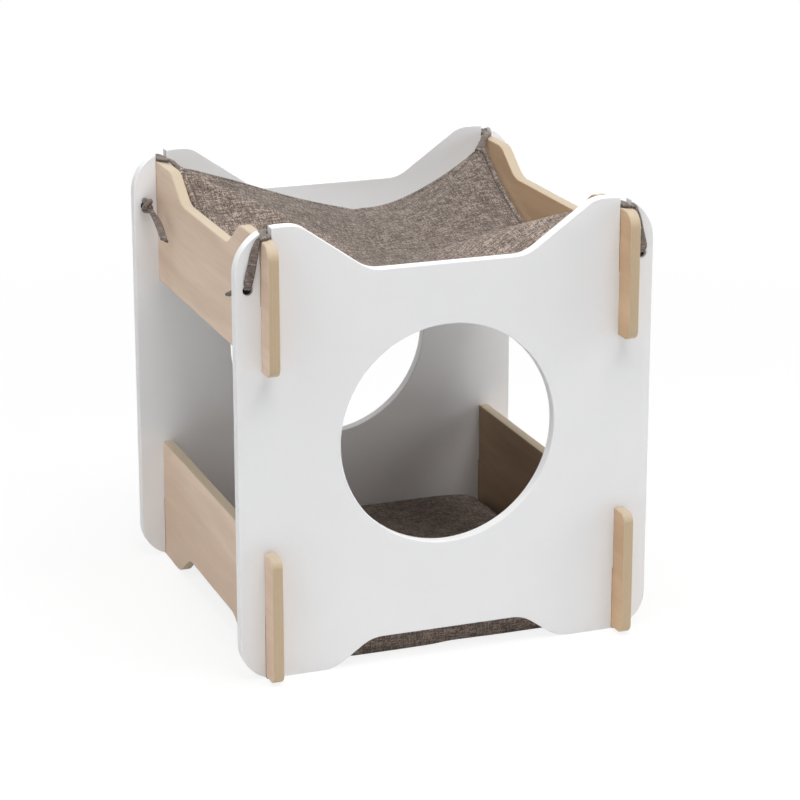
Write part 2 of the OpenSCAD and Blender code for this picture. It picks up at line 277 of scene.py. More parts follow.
def soft_specks():
    """Faint unevenness of a sprayed or sanded surface."""
    tree, given, result = new_effect("soft_specks", {"Value": "Float"}, Place="Vector", Size="Float")
    scale = calc("DIVIDE", 1, given["Size"])
    fine = speckle(given["Place"], scale)
    broad = speckle(given["Place"], times(scale, 0.05), 1)
    feed(result, Value=plus(times(fine, 0.5), times(broad, 0.5)))
    return tree


WEAVE, GRAIN, SPECKS = melange_weave(), veneer_grain(), soft_specks()


def new_material(name, speck_size=None):
    """Material, its Principled shader, the object's own coordinates, and specks of a size."""
    material = bpy.data.materials.new(name)
    material.use_nodes = True
    place = put("TexCoord", material.node_tree).outputs
    specks = None
    if speck_size:
        specks = put("Group", node_tree=SPECKS, Place=place["Object"], Size=speck_size).outputs[0]
    return material, material.node_tree.nodes["Principled BSDF"], place, specks


def two_toned(name, speck_size, dark, light, depth, **settings):
    """Material whose specks go from one colour to another, with a relief."""
    material, shader, _, specks = new_material(name, speck_size)
    feed(shader, Base_Color=blend(specks, dark, light), Normal=relief(specks, depth), **settings)
    return material


def white_lacquer():
    """Satin white lacquer with a fine sprayed skin."""
    material, shader, _, skin = new_material("white_lacquer", 0.0016)
    feed(shader, Base_Color=blend(skin, (0.8, 0.803, 0.812), (0.835, 0.838, 0.846)),
         Roughness=band(skin, 0.3, 0.7, 0.42, 0.52), Specular_IOR_Level=0.35,
         Normal=relief(skin, 0.00006))
    return material


PLIES = 7


def sanded_wood():
    """Pale veneered board: pinkish faces, creamier cut edges with faint plies."""
    material, shader, place, _ = new_material("sanded_wood")
    spot, turned = split(place["Object"]), split(place["Normal"])
    face = put("Group", node_tree=GRAIN, Place=place["Object"],
               Pale=(0.735, 0.57, 0.438), Warm=(0.635, 0.466, 0.347),
               Streak=(0.54, 0.388, 0.282)).outputs
    depth_in_board = minus(size_of(spot[0]), RAIL_INNER_X * MM)
    ply = times(depth_in_board, PLIES / (RAIL_T * MM))
    glue = band(size_of(minus(calc("FRACT", ply), 0.5)), 0.3, 0.5)
    cross_ply = calc("PINGPONG", calc("FLOOR", ply), 1)
    fuzz = speckle(scaled(place["Object"], (900, 160, 160)))
    cut = blend(fuzz, (0.55, 0.43, 0.286), (0.495, 0.38, 0.246))
    # The edges that look up are painted paler, as a painted highlight from the light above
    cut = blend(band(turned[2], 0.2, 0.8), cut, (0.475, 0.396, 0.292))
    cut = blend(times(cross_ply, 0.14), cut, (0.45, 0.33, 0.21))
    cut = blend(times(glue, 0.1), cut, (0.33, 0.23, 0.14))
    flat_face = band(size_of(turned[0]), 0.55, 0.85)
    # The faces that look into the house are painted browner and darker, as painted shade, and more so low
    # down in the den
    inwards = calc("LESS_THAN", times(turned[0], spot[0]), 0)
    low_down = band(spot[2], 0.1, 0.3, 0.62, 1)
    on_tab = band(size_of(spot[1]), PANEL_INNER_Y * MM, DEPTH / 2 * MM)
    painted_den_shade = toned(scaled(face["Color"], (0.79, 0.7, 0.56)), calc("MAXIMUM", low_down, on_tab))
    tint = blend(flat_face, cut, blend(inwards, face["Color"], painted_den_shade))
    feed(shader, Base_Color=tint, Roughness=band(face["Height"], 0.2, 0.8, 0.48, 0.62),
         Specular_IOR_Level=0.4, Normal=relief(face["Height"], 0.00012))
    return material


def hammock_tint(spot, tint, dark):
    """Tint of the weave on the hammock: painted shade along its seams, a painted highlight on its rolled
    hems, and painted light and shade across it.
    """
    half_x, half_y, inset = CLOTH_HALF_X * MM, CLOTH_HALF_Y * MM, SEAM_INSET * MM
    parts = split(spot)
    from_side = minus(half_x, size_of(parts[0]))
    from_end = minus(half_y, size_of(parts[1]))
    # A dark line along each seam is painted shade in the seam's groove
    for inwards, shade in ((from_side, 0.8), (from_end, 0.25)):
        from_seam = size_of(minus(inwards, inset))
        tint = blend(band(from_seam, 0.0003, 0.0016, shade, 0), tint, dark)
    # In front of the taut fold the cloth is painted paler, as painted light
    share_x, share_y = calc("DIVIDE", parts[0], half_x), calc("DIVIDE", parts[1], half_y)
    in_front = band(plus(share_x, share_y), 0, 0.08, 1, 0)
    right = band(share_x, 0.05, 0.4, 0, 0.42)
    left = band(share_x, -0.3, 0, 0.3, 0)
    painted_flap_light = times(in_front, plus(right, left))
    # The rolled hem is painted paler, as a painted highlight where it catches the light
    rolled = band(calc("MINIMUM", from_side, from_end), inset - 0.0014, inset - 0.0006, 0.14, 0)
    # The cloth is painted darker towards the left and paler towards the right, as painted light and shade
    behind = band(share_x, -0.25, 0.15, 0.97, 1.07)
    return toned(tint, plus(plus(painted_flap_light, behind), rolled))


def woven_taupe(name, thread, slub, dark, middle, light, rib=0, on_hammock=False):
    """Grey-taupe melange cloth. The weave follows the piece's own map, which is in metres."""
    material, shader, _, worn = new_material(name, 0.02)
    spot = put("UVMap", shader.id_data, uv_map="cloth").outputs[0]
    cloth = put("Group", node_tree=WEAVE, Place=spot, Thread=thread,
                Slub=slub, Rib=rib, Dark=dark, Middle=middle, Light=light).outputs
    tint = blend(band(worn, 0.35, 0.65, 0, 0.12), cloth["Color"], middle)
    if on_hammock:
        tint = hammock_tint(spot, tint, dark)
    feed(shader, Base_Color=tint, Roughness=0.92, Specular_IOR_Level=0.15, Sheen_Weight=0.14,
         Sheen_Roughness=0.6, Normal=relief(cloth["Height"], 0.00045))
    return material


LACQUER = white_lacquer()
WOOD = sanded_wood()
HAMMOCK_CLOTH = woven_taupe("hammock_weave", 0.00125, 2.4, (0.063, 0.048, 0.039),
                            (0.182, 0.141, 0.117), (0.398, 0.325, 0.274), on_hammock=True)
# Near-black cloth of the strip inside each strap hole, painted as the hole's shade
STRAP_PAINTED_SHADE_CLOTH = woven_taupe("strap_painted_shade_weave", 0.0014, 2.2, (0.006, 0.005, 0.004),
                               (0.012, 0.01, 0.009), (0.024, 0.02, 0.017), rib=0.75)
STRAP_CLOTH = woven_taupe("strap_weave", 0.0017, 1.3, (0.066, 0.052, 0.045),
                          (0.19, 0.156, 0.137), (0.37, 0.315, 0.28), rib=0.8)
CUSHION_CLOTH = woven_taupe("cushion_weave", 0.00125, 2.8, (0.097, 0.071, 0.057),
                            (0.212, 0.158, 0.128), (0.416, 0.324, 0.268))
WADDING = two_toned("fluffy_wadding", 0.006, (0.74, 0.74, 0.72), (0.88, 0.88, 0.87), 0.002,
                    Roughness=0.95)
THREAD = two_toned("sewing_thread", 0.0004, (0.18, 0.15, 0.13), (0.32, 0.275, 0.245), 0.0001,
                   Roughness=0.7)


# Mesh helpers

def new_piece(name, points, faces, material, uvs=None):
    """Mesh object from points in metres. uvs holds one pair for each corner of each face."""
    mesh = bpy.data.meshes.new(name)
    mesh.from_pydata(points, [], faces)
    if uvs:
        layer = mesh.uv_layers.new(name="cloth")
        layer.uv.foreach_set("vector", np.array(uvs, np.float32).ravel())
    mesh.shade_smooth()
    mesh.materials.append(material)
    mesh.validate()
    made = bpy.data.objects.new(name, mesh)
    scene.collection.objects.link(made)
    return made


def turned_outwards(piece):
    """The piece, with its faces made to look outwards."""
    mesh = bmesh.new()
    mesh.from_mesh(piece.data)
    bmesh.ops.recalc_face_normals(mesh, faces=mesh.faces)
    mesh.to_mesh(piece.data)
    mesh.free()
    return piece


def wall_faces(start, rings, sides):
    """Faces between closed rings of points, the first of which begins at start."""
    faces = []
    for ring in range(rings - 1):
        for k in range(sides):
            a, b = start + ring * sides + k, start + ring * sides + (k + 1) % sides
            faces.append((a, b, b + sides, a + sides))
    return faces


def tube_faces(start, rings, sides):
    """Walls and both ends of a closed tube."""
    last = start + (rings - 1) * sides
    ends = [tuple(reversed(range(start, start + sides))), tuple(range(last, last + sides))]
    return wall_faces(start, rings, sides) + ends


def grid_rim(cells):
    """The way round the edge of a square grid, as (i, j) pairs."""
    return ([(i, 0) for i in range(cells)] + [(cells, j) for j in range(cells)]
            + [(i, cells) for i in range(cells, 0, -1)] + [(0, j) for j in range(cells, 0, -1)])


def unit(vector):
    """Vector brought to length 1."""
    return vector / max(np.linalg.norm(vector), 1e-9)


def bell(value, width):
    """Smooth hump of height 1."""
    return exp(-(value / width) ** 2)


# Boards

ARC_STEP_DEGREES, ARC_STEPS_AT_LEAST = 4, 6


def corner_arc(before, corner, after, radius):
    """Points of the arc that rounds a corner."""
    before, corner, after = (np.array(p) for p in (before, corner, after))
    u, v = unit(before - corner), unit(after - corner)
    half = acos(np.clip(u @ v, -1, 1)) / 2
    centre = corner + unit(u + v) * radius / sin(half)
    first = corner + u * radius / tan(half) - centre
    last = corner + v * radius / tan(half) - centre
    start = atan2(first[1], first[0])
    sweep = (atan2(last[1], last[0]) - start + pi) % (2 * pi) - pi
    steps = max(ARC_STEPS_AT_LEAST, round(abs(degrees(sweep)) / ARC_STEP_DEGREES))
    return [centre + radius * np.array([cos(start + sweep * k / steps),
                                        sin(start + sweep * k / steps)]) for k in range(steps + 1)]


def rounded(right):
    """Outline from the corners of its right half, given as (across, up, radius)."""
    corners = right + [(-a, z, radius) for a, z, radius in reversed(right)]
    count, line = len(corners), []
    for i, (a, z, radius) in enumerate(corners):
        if radius > 0:
            line += corner_arc(corners[i - 1][:2], (a, z), corners[(i + 1) % count][:2], radius)
        else:
            line.append(np.array([a, z]))
    return line


def slope_run(rise):
    """How far a slope of the boards' edges runs while it rises."""
    return rise / tan(radians(SLOPE_ANGLE))


def arch_corners(flat):
    """Right half of the arch between a board's feet."""
    return [(flat, ARCH_H, DIP_R), (flat + slope_run(ARCH_H), 0, DIP_R)]


PANEL_FLAT = WIDTH / 2 - PANEL_EAR_W - slope_run(PANEL_DIP)
RAIL_FLAT = DEPTH / 2 - RAIL_EAR_W - slope_run(RAIL_DIP)
RAIL_END_Y = DEPTH / 2 + TAB_REACH
UPPER_LAP_Z = (UPPER_RAIL_Z + RAIL_EAR_Z) / 2
LOWER_LAP_Z = LOWER_RAIL_H / 2

PANEL_OUTLINE = rounded(arch_corners(PANEL_FLAT) + [
    (WIDTH / 2, 0, BOTTOM_CORNER_R),
    (WIDTH / 2, HEIGHT, TOP_CORNER_R),
    (PANEL_FLAT + slope_run(PANEL_DIP), HEIGHT, EAR_R),
    (PANEL_FLAT, HEIGHT - PANEL_DIP, DIP_R),
])
UPPER_RAIL_OUTLINE = rounded([
    (RAIL_END_Y, UPPER_RAIL_Z, TAB_R),
    (RAIL_END_Y, RAIL_EAR_Z, RAIL_EAR_R),
    (RAIL_FLAT + slope_run(RAIL_DIP), RAIL_EAR_Z, EAR_R),
    (RAIL_FLAT, RAIL_EAR_Z - RAIL_DIP, DIP_R),
])
LOWER_RAIL_OUTLINE = rounded(arch_corners(RAIL_FLAT) + [
    (DEPTH / 2 + SLOT_PLAY, 0, 0),
    (DEPTH / 2 + TAB_LIFT, TAB_LIFT, 0),
    (RAIL_END_Y, TAB_LIFT, TAB_R),
    (RAIL_END_Y, LOWER_RAIL_H, TAB_R),
])

# Rounding of the edges, and how far a slot's lip lies past it
PANEL_EDGE_R, RAIL_EDGE_R, DOOR_EDGE_R, HOLE_EDGE_R, CUT_EDGE_R = 0.9, 1.4, 0.9, 0.6, 0.5
EDGE_STEPS, LIP_PAST_EDGE = 5, 0.8
# A ring just inside the face's edge keeps the shading of the flat face even
SUPPORT = 0.35
DOOR_STEPS, HOLE_STEPS = 144, 28
SHARP_EDGE = radians(32)


def with_slot(line, edges, middle, width, inner, from_top):
    """Outline with a slot cut in from its top or bottom edge down to the height inner.
    edges holds the rounding radius of the edge after each point."""
    low, high = middle - width / 2, middle + width / 2
    count = len(line)

    def crossing(across):
        """Index of the outline's edge that crosses the slot's side, and the height there."""
        for i in range(count):
            p, q = line[i], line[(i + 1) % count]
            if (p[0] - across) * (q[0] - across) <= 0 and p[0] != q[0]:
                z = p[1] + (q[1] - p[1]) * (across - p[0]) / (q[0] - p[0])
                if (z > inner) if from_top else (z < inner):
                    return i, z
        raise ValueError("the slot misses the outline")

    (first, z_first), (last, z_last) = crossing(low), crossing(high)
    if line[(first + 1) % count][0] > line[first][0]:
        start, end, near, far = first, last, (low, z_first), (high, z_last)
    else:
        start, end, near, far = last, first, (high, z_last), (low, z_first)
    lip = (-1 if from_top else 1) * (RAIL_EDGE_R + LIP_PAST_EDGE)
    kept = [(end + 1 + k) % count for k in range((start - end - 1) % count + 1)]
    cut = [near, (near[0], near[1] + lip), (near[0], inner), (far[0], inner), (far[0], far[1] + lip), far]
    return ([line[i] for i in kept] + [np.array(p) for p in cut],
            [edges[i] for i in kept] + [CUT_EDGE_R] * (len(cut) - 1) + [edges[end]])


def round_hole(a, z, radius, steps, edge_r):
    """Outline and edge radii of a round hole."""
    line = [np.array([a + radius * cos(-2 * pi * k / steps),
                      z + radius * sin(-2 * pi * k / steps)]) for k in range(steps)]
    return line, [edge_r] * steps


def inset_line(line, amounts):
    """Outline moved inwards by a distance of its own for each edge."""
    count, moved = len(line), []
    for i in range(count):
        before, here, after = line[i - 1], line[i], line[(i + 1) % count]
        along_in, along_out = unit(here - before), unit(after - here)
        n_in, n_out = np.array([-along_in[1], along_in[0]]), np.array([-along_out[1], along_out[0]])
        d_in, d_out = amounts[i - 1], amounts[i]
        turn = n_in[0] * n_out[1] - n_in[1] * n_out[0]
        # On a nearly straight run the two moved edges would meet too far off
        if abs(turn) < 0.02:
            shift = (n_in * d_in + n_out * d_out) / 2
        else:
            shift = np.array([d_in * n_out[1] - d_out * n_in[1], d_out * n_in[0] - d_in * n_out[0]]) / turn
        moved.append(here + shift)
    return moved


def board(name, loops, thickness, place, material):
    """Board from its outline and holes, each an (outline, edge radii) pair, with rounded edges.
    place turns (across, through the board, up) in millimetres into a point in metres."""
    # Rings of one side: shares of the edge radius inwards and below the face, and how much further in
    side = [(1, 0, SUPPORT)]
    for k in range(EDGE_STEPS + 1):
        angle = pi / 2 * (1 - k / EDGE_STEPS)
        side.append((1 - cos(angle), 1 - sin(angle), 0))
    profile = [(-1, *ring) for ring in side] + [(1, *ring) for ring in reversed(side)]
    points, faces, rims = [], [], ([], [])
    for line, radii in loops:
        start, count = len(points), len(line)
        for sign, inwards, below, further in profile:
            for i, (a, z) in enumerate(inset_line(line, [r * inwards + further for r in radii])):
                edge = max(radii[i], radii[i - 1])
                points.append(place(a, sign * (thickness / 2 - edge * below), z))
        faces += wall_faces(start, len(profile), count)
        rims[0].append(range(start, start + count))
        rims[1].append(range(len(points) - count, len(points)))
    made = new_piece(name, points, faces, material)
    mesh = bmesh.new()
    mesh.from_mesh(made.data)
    mesh.verts.ensure_lookup_table()
    for of_side in rims:
        edges = [mesh.edges.get((mesh.verts[a], mesh.verts[b]))
                 for rim in of_side for a, b in zip(rim, [*rim[1:], rim[0]])]
        filled = bmesh.ops.triangle_fill(mesh, use_beauty=True, use_dissolve=False, edges=edges)
        for piece in filled["geom"]:
            if isinstance(piece, bmesh.types.BMFace):
                piece.smooth = False
    bmesh.ops.recalc_face_normals(mesh, faces=mesh.faces)
    for edge in mesh.edges:
        if len(edge.link_faces) == 2 and edge.calc_face_angle(0) > SHARP_EDGE:
            edge.smooth = False
    mesh.to_mesh(made.data)
    mesh.free()
    if len(made.data.polygons) <= len(faces):
        raise ValueError(f"{name} has no faces on its sides")
    return made


def panel_loops():
    """Outline of a panel with its four slots, and its doorway and strap holes."""
    line, radii = PANEL_OUTLINE, [PANEL_EDGE_R] * len(PANEL_OUTLINE)
    slot_w = RAIL_T + 2 * SLOT_PLAY
    for side in (-1, 1):
        line, radii = with_slot(line, radii, side * RAIL_X, slot_w, UPPER_LAP_Z, True)
        line, radii = with_slot(line, radii, side * RAIL_X, slot_w, LOWER_LAP_Z, False)
    loops = [(line, radii), round_hole(0, DOOR_Z, DOOR_R, DOOR_STEPS, DOOR_EDGE_R)]
    for side in (-1, 1):
        loops.append(round_hole(side * HOLE_X, HOLE_Z, HOLE_R, HOLE_STEPS, HOLE_EDGE_R))
    return loops


def rail_loops(line, inner, from_top):
    """Outline of a rail with its two half-lap notches."""
    radii = [RAIL_EDGE_R] * len(line)
    for end in (-1, 1):
        line, radii = with_slot(line, radii, end * PANEL_Y, PANEL_T + 2 * SLOT_PLAY, inner, from_top)
    return [(line, radii)]


def build_boards():
    """The two panels and the four rails."""
    loops = panel_loops()
    for node, y in (("front_panel", -PANEL_Y), ("rear_panel", PANEL_Y)):
        made = board(node + "_board", loops, PANEL_T,
                     lambda a, t, z, y=y: (a * MM, (y + t) * MM, z * MM), LACQUER)
        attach(made, "house")
        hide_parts(node)
    upper = rail_loops(UPPER_RAIL_OUTLINE, UPPER_LAP_Z, False)
    lower = rail_loops(LOWER_RAIL_OUTLINE, LOWER_LAP_Z, True)
    for node, x, loops in (
        ("upper_left_rail", -RAIL_X, upper), ("upper_right_rail", RAIL_X, upper),
        ("lower_left_rail", -RAIL_X, lower), ("lower_right_rail", RAIL_X, lower),
    ):
        made = board(node + "_board", loops, RAIL_T,
                     lambda a, t, z, x=x: ((x + t) * MM, a * MM, z * MM), WOOD)
        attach(made, "house")
        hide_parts(node)


build_boards()


# Hammock. Its lengths are in millimetres, and the widths of its folds are shares of u and v.

SAG_SHIFT, SAG_ROUND, SAG_POWER, RIDGE_SHARP = 0.22, 0.13, 1.35, 4
FOLD_H, FOLD_SHIFT, FOLD_EASY_W, FOLD_STEEP_W = 15, 0.05, 0.42, 0.11
FOLD_END_H, FOLD_END_EASY_W = 5, 0.2
CREASE_H, CREASE_WAVES, CREASE_W = 1.2, 14, 0.25
VALLEY_H, VALLEY_W, VALLEY_L = 3.4, 0.04, 0.4
RIPPLE_H = 1.5
# Half thickness of the cloth between its hems, which are thicker
FLAT_HALF_T = CLOTH_T / 2 - 0.35
ROLL_AT, ROLL_W, SIDE_ROLL_H, END_ROLL_H = 2.2, 2.6, 1.9, 0.8
DENT_W, SIDE_DENT_H, END_DENT_H = 0.7, 0.9, 0.4
RIM_OUT, RIM_ROUND = 1.5, 2.5
INNER_LINES = 97
# Step of u and v over which a slope is measured
DELTA = 0.004
STITCH_L, STITCH_R, STITCH_PITCH, STITCH_SIDES = 2.8, 0.42, 4.4, 6
# Rings of a stitch: place along it, and radius and height as shares of STITCH_R
STITCH_RINGS = [(-0.5, 0.25, -0.5), (-0.36, 0.9, 0.2), (0, 1, 0.45), (0.36, 0.9, 0.2), (0.5, 0.25, -0.5)]


def sag_of(w):
    """Share of the full sag at w, which is 0 at the middle and 1 at a corner."""
    rise = (hypot(w, SAG_ROUND) - SAG_ROUND) / (hypot(1, SAG_ROUND) - SAG_ROUND)
    return max(0, 1 - rise ** SAG_POWER)


def hammock_point(u, v):
    """Top surface of the hammock, for u and v from -1 to 1 across it."""
    across, along = sag_of(u - SAG_SHIFT * (1 - u * u) * (1 + v) / 2), sag_of(v)
    slack = (across ** RIDGE_SHARP + along ** RIDGE_SHARP) ** (1 / RIDGE_SHARP)
    x = u * (CLOTH_HALF_X - SIDE_BOW * (1 - v * v))
    y = v * (CLOTH_HALF_Y - HEM_BOW * (1 - u * u))
    z = CLOTH_CORNER_Z - (HEM_SAG + FRONT_SLACK * (1 - v) / 2) * slack
    # Taut fold from the middle to the front right corner, steep behind, and its end at the rear left
    fold = u + v
    if u > 0:
        fold -= FOLD_SHIFT
        z += FOLD_H * bell(fold, FOLD_STEEP_W if fold > 0 else FOLD_EASY_W) * sin(pi * u ** 1.2)
    else:
        z += FOLD_END_H * bell(fold, FOLD_STEEP_W if fold > 0 else FOLD_END_EASY_W) * sin(pi * -u)
    # Soft creases from the corners, and one valley in from the rear hem
    for corner_u, corner_v in ((-1, -1), (1, -1), (-1, 1), (1, 1)):
        away = hypot(u - corner_u, v - corner_v)
        angle = atan2(abs(v - corner_v), abs(u - corner_u))
        z += CREASE_H * sin(angle * CREASE_WAVES + corner_u + 2 * corner_v) * bell(away - CREASE_W, CREASE_W)
    z -= VALLEY_H * bell(u - 0.03 - 0.08 * v, VALLEY_W) * bell(v - 0.62, VALLEY_L)
    z += RIPPLE_H * noise.noise(Vector((u * 2.3, v * 2.1, 4.2)))
    return np.array([x, y, z])


def hem_swell(u, v):
    """Extra half thickness of the narrow rolled hem, with the dent of its seam."""
    side, end = (1 - abs(u)) * CLOTH_HALF_X, (1 - abs(v)) * CLOTH_HALF_Y
    rolls = [height * sqrt(max(0, 1 - ((inwards - ROLL_AT) / ROLL_W) ** 2))
             for inwards, height in ((side, SIDE_ROLL_H), (end, END_ROLL_H))]
    return max(rolls) - max(SIDE_DENT_H * bell(side - SEAM_INSET, DENT_W),
                            END_DENT_H * bell(end - SEAM_INSET, DENT_W))


def cloth_faces(u, v):
    """Points of the cloth's upper and lower face, and the direction that it looks."""
    along_u = hammock_point(min(1, u + DELTA), v) - hammock_point(max(-1, u - DELTA), v)
    along_v = hammock_point(u, min(1, v + DELTA)) - hammock_point(u, max(-1, v - DELTA))
    up = unit(np.cross(along_u, along_v))
    middle = hammock_point(u, v) - np.array([0, 0, CLOTH_T / 2])
    half = FLAT_HALF_T + hem_swell(u, v)
    return middle + up * half, middle - up * half, up


def edge_spread(steps):
    """Shares from -1 to 1 that lie closer together at the hems."""
    fine = [1 - d / CLOTH_HALF_X for d in (0, 0.8, 1.6, 2.4, 3.2, 4, 4.6, 5.2, 5.8, 6.6, 11)]
    inner = np.linspace(-fine[-1], fine[-1], steps)
    return [-f for f in fine[:-1]] + list(inner) + list(reversed(fine[:-1]))


def build_hammock():
    """Doubled cloth with turned hems, hung from its four corners."""
    line = edge_spread(INNER_LINES)
    row = len(line)
    tops, lows, flat = [], [], []
    for v in line:
        for u in line:
            top, low, _ = cloth_faces(u, v)
            tops.append(top * MM)
            lows.append(low * MM)
            flat.append((u * CLOTH_HALF_X * MM, v * CLOTH_HALF_Y * MM))
    # Rounded rim: one more line of points half way down, pushed out
    rim = [j * row + i for i, j in grid_rim(row - 1)]
    rim_points, rim_flat = [], []
    for k, a in enumerate(rim):
        along = tops[rim[(k + 1) % len(rim)]] - tops[rim[k - 1]]
        out = unit(np.array([along[1], -along[0], 0]))
        rim_points.append((tops[a] + lows[a]) / 2 + out * RIM_OUT * MM)
        rim_flat.append((flat[a][0] + out[0] * RIM_ROUND * MM, flat[a][1] + out[1] * RIM_ROUND * MM))
    count, faces = row * row, []
    for j in range(row - 1):
        for i in range(row - 1):
            a = j * row + i
            quad = (a, a + 1, a + row + 1, a + row)
            faces += [quad, tuple(k + count for k in reversed(quad))]
    for k, a in enumerate(rim):
        next_k = (k + 1) % len(rim)
        b, out_a, out_b = rim[next_k], 2 * count + k, 2 * count + next_k
        faces += [(a, out_a, out_b, b), (out_a, a + count, b + count, out_b)]
    marks = flat + flat + rim_flat
    made = turned_outwards(new_piece("hammock_doubled_cloth", tops + lows + rim_points, faces, HAMMOCK_CLOTH,
                                     [marks[k] for face in faces for k in face]))
    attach(made, "house")
    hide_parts("hammock_cloth")
    return made


def stitch(middle, along, up):
    """Points of one short thread stitch, ring by ring."""
    across, points = unit(np.cross(up, along)), []
    for share, width, lift in STITCH_RINGS:
        for k in range(STITCH_SIDES):
            angle = 2 * pi * k / STITCH_SIDES
            points.append((middle + along * share * STITCH_L + up * STITCH_R * lift
                           + (across * cos(angle) + up * sin(angle) * 0.7) * STITCH_R * width) * MM)
    return points


def build_hem_stitches():
    """Stitch line along each hem of the hammock, on its top side."""
    points, faces = [], []
    inset_u, inset_v = 1 - SEAM_INSET / CLOTH_HALF_X, 1 - SEAM_INSET / CLOTH_HALF_Y
    count = int(2 * CLOTH_HALF_X * 0.93 / STITCH_PITCH)
    for side in (-1, 1):
        for k in range(count):
            w = (-1 + 2 * (k + 0.5) / count) * 0.94
            for u, v, du, dv in ((w, side * inset_v, DELTA, 0), (side * inset_u, w, 0, DELTA)):
                top, _, up = cloth_faces(u, v)
                faces += tube_faces(len(points), len(STITCH_RINGS), STITCH_SIDES)
                points += stitch(top, unit(hammock_point(u + du, v + dv) - hammock_point(u - du, v - dv)), up)
    made = turned_outwards(new_piece("hammock_hem_stitches", points, faces, THREAD))
    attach(made, "house")
    return made


hammock = build_hammock()
hem_stitches = build_hem_stitches()


# Straps

OVER_Z = RAIL_EAR_Z + STRAP_GAP + STRAP_T / 2 + 0.2
FACE_Y = -DEPTH / 2 - STRAP_GAP - STRAP_T / 2
KNOT_Y = -PANEL_INNER_Y + STRAP_GAP + KNOT_D * 0.7
RUN_X, RUN_Z = HOLE_X - RAIL_OUTER_X, RAIL_EAR_Z - HOLE_Z
SEWN_LAP, TAIL_REACH, TAIL_DROP, TAIL_SLANT = 7, 54, 23, 0.8
SLOT_SHARE = (RAIL_T + 2 * SLOT_PLAY - 2 * 0.7) / STRAP_W
IN_HOLE_Z = HOLE_Z + 1.5
BAND_SPANS, TAIL_SPANS, KNOT_STEPS = 6, 9, 72
SECTION_SIDES, CORD_SIDES, KNOT_CORD_R = 28, 14, 2.75

# Route of the front left strap: point, direction that its face looks, share of its width
STRAP_ROUTE = [
    ((SEWN_LAP - CLOTH_HALF_X, SEWN_LAP - CLOTH_HALF_Y, CLOTH_CORNER_Z - 0.85 * SEWN_LAP), (0.2, 0.2, 1), 1),
    ((-CLOTH_HALF_X, -CLOTH_HALF_Y, CLOTH_CORNER_Z), (0.2, 0.2, 1), 1),
    ((-RAIL_INNER_X + 1.8, -CLOTH_HALF_Y - 5, RAIL_EAR_Z + 1.5), (0.5, 0.1, 1), 0.75),
    ((-RAIL_INNER_X - 2.2, -CLOTH_HALF_Y - 11, OVER_Z), (0, 0, 1), 0.85),
    ((-RAIL_X, -PANEL_INNER_Y + 2, OVER_Z), (0, 0, 1), SLOT_SHARE),
    ((-RAIL_X, -PANEL_Y, OVER_Z), (0, 0, 1), SLOT_SHARE),
    ((-RAIL_X - 0.4, -DEPTH / 2 + 1, OVER_Z), (-0.1, -0.1, 1), 0.9 * SLOT_SHARE),
    ((-RAIL_X - 2.6, FACE_Y - 1, OVER_Z + 0.2), (-0.3, -0.4, 1), 0.6),
    ((-RAIL_OUTER_X - 2.2, FACE_Y - 1.1, RAIL_EAR_Z + 1.2), (-0.8, -1, 0.5), 0.5),
    ((-RAIL_OUTER_X - 0.44 * RUN_X, FACE_Y, RAIL_EAR_Z - 0.18 * RUN_Z), (0, -1, 0), 0.85),
    ((-RAIL_OUTER_X - 0.8 * RUN_X, FACE_Y, HOLE_Z + 0.4 * RUN_Z), (0, -1, 0), 1),
    ((-HOLE_X, FACE_Y, HOLE_Z + 0.18 * RUN_Z), (0, -1, 0), 1),
    ((-HOLE_X, FACE_Y + 0.5, HOLE_Z + 0.09 * RUN_Z), (0, -1, -0.4), 0.8),
    ((-HOLE_X, -DEPTH / 2 + 2.4, IN_HOLE_Z), (0, -0.3, -1), 0.75),
    ((-HOLE_X, KNOT_Y - KNOT_D * 0.35, IN_HOLE_Z - 1), (0, 0, -1), 0.6),
]
TAIL_ROUTE = [
    ((-HOLE_X + 2, KNOT_Y + KNOT_D * 0.3, HOLE_Z - 2), (0, -0.2, -1), 0.5),
    ((-HOLE_X + 0.3 * RUN_X, KNOT_Y + 0.5 * TAIL_REACH, HOLE_Z - 0.5 * TAIL_DROP), (0, -0.4, -1), 0.85),
    ((-HOLE_X + 0.2 * RUN_X, KNOT_Y + TAIL_REACH, HOLE_Z - TAIL_DROP), (0, -0.5, -1), 0.8),
]
# Strip bunched up inside the hole, in near-black cloth as painted shade of the hole: depth, share of the
# cord's radius
IN_HOLE = [(-DEPTH / 2 + 3.4, 0.75), (-DEPTH / 2 + 4, 0.97), (-DEPTH / 2 + 8, 1),
           (-PANEL_INNER_Y - 1, 1), (-PANEL_INNER_Y + 0.5, 0.7)]


def smooth_route(route, spans):
    """Finer route through listed points."""
    count, line = len(route), []
    for i in range(count - 1):
        p = [np.array(route[k][0]) for k in (max(0, i - 1), i, i + 1, min(count - 1, i + 2))]
        for k in range(spans + (i == count - 2)):
            t = k / spans
            place = 0.5 * (2 * p[1] + (p[2] - p[0]) * t + (2 * p[0] - 5 * p[1] + 4 * p[2] - p[3]) * t * t
                           + (3 * p[1] - p[0] - 3 * p[2] + p[3]) * t ** 3)
            look = np.array(route[i][1]) * (1 - t) + np.array(route[i + 1][1]) * t
            line.append((place, unit(look), route[i][2] * (1 - t) + route[i + 1][2] * t))
    return line


def folded_section():
    """Cross-section of a strip folded over, as (share of width, share of thickness)."""
    shape = []
    for k in range(SECTION_SIDES):
        angle = 2 * pi * (k + 0.5) / SECTION_SIDES
        c, s = cos(angle), sin(angle)
        a = copysign(abs(c) ** 0.55, c)
        b = copysign(abs(s) ** 0.6, s)
        if s > 0:
            b -= 0.42 * bell(a - 0.34, 0.1)
            b += 0.1 if a < 0.3 else -0.06
        shape.append((a, b))
    return shape


SECTION = folded_section()


def heading(line, i):
    """Direction in which a route runs at its point i."""
    return unit(line[min(len(line) - 1, i + 1)][0] - line[max(0, i - 1)][0])


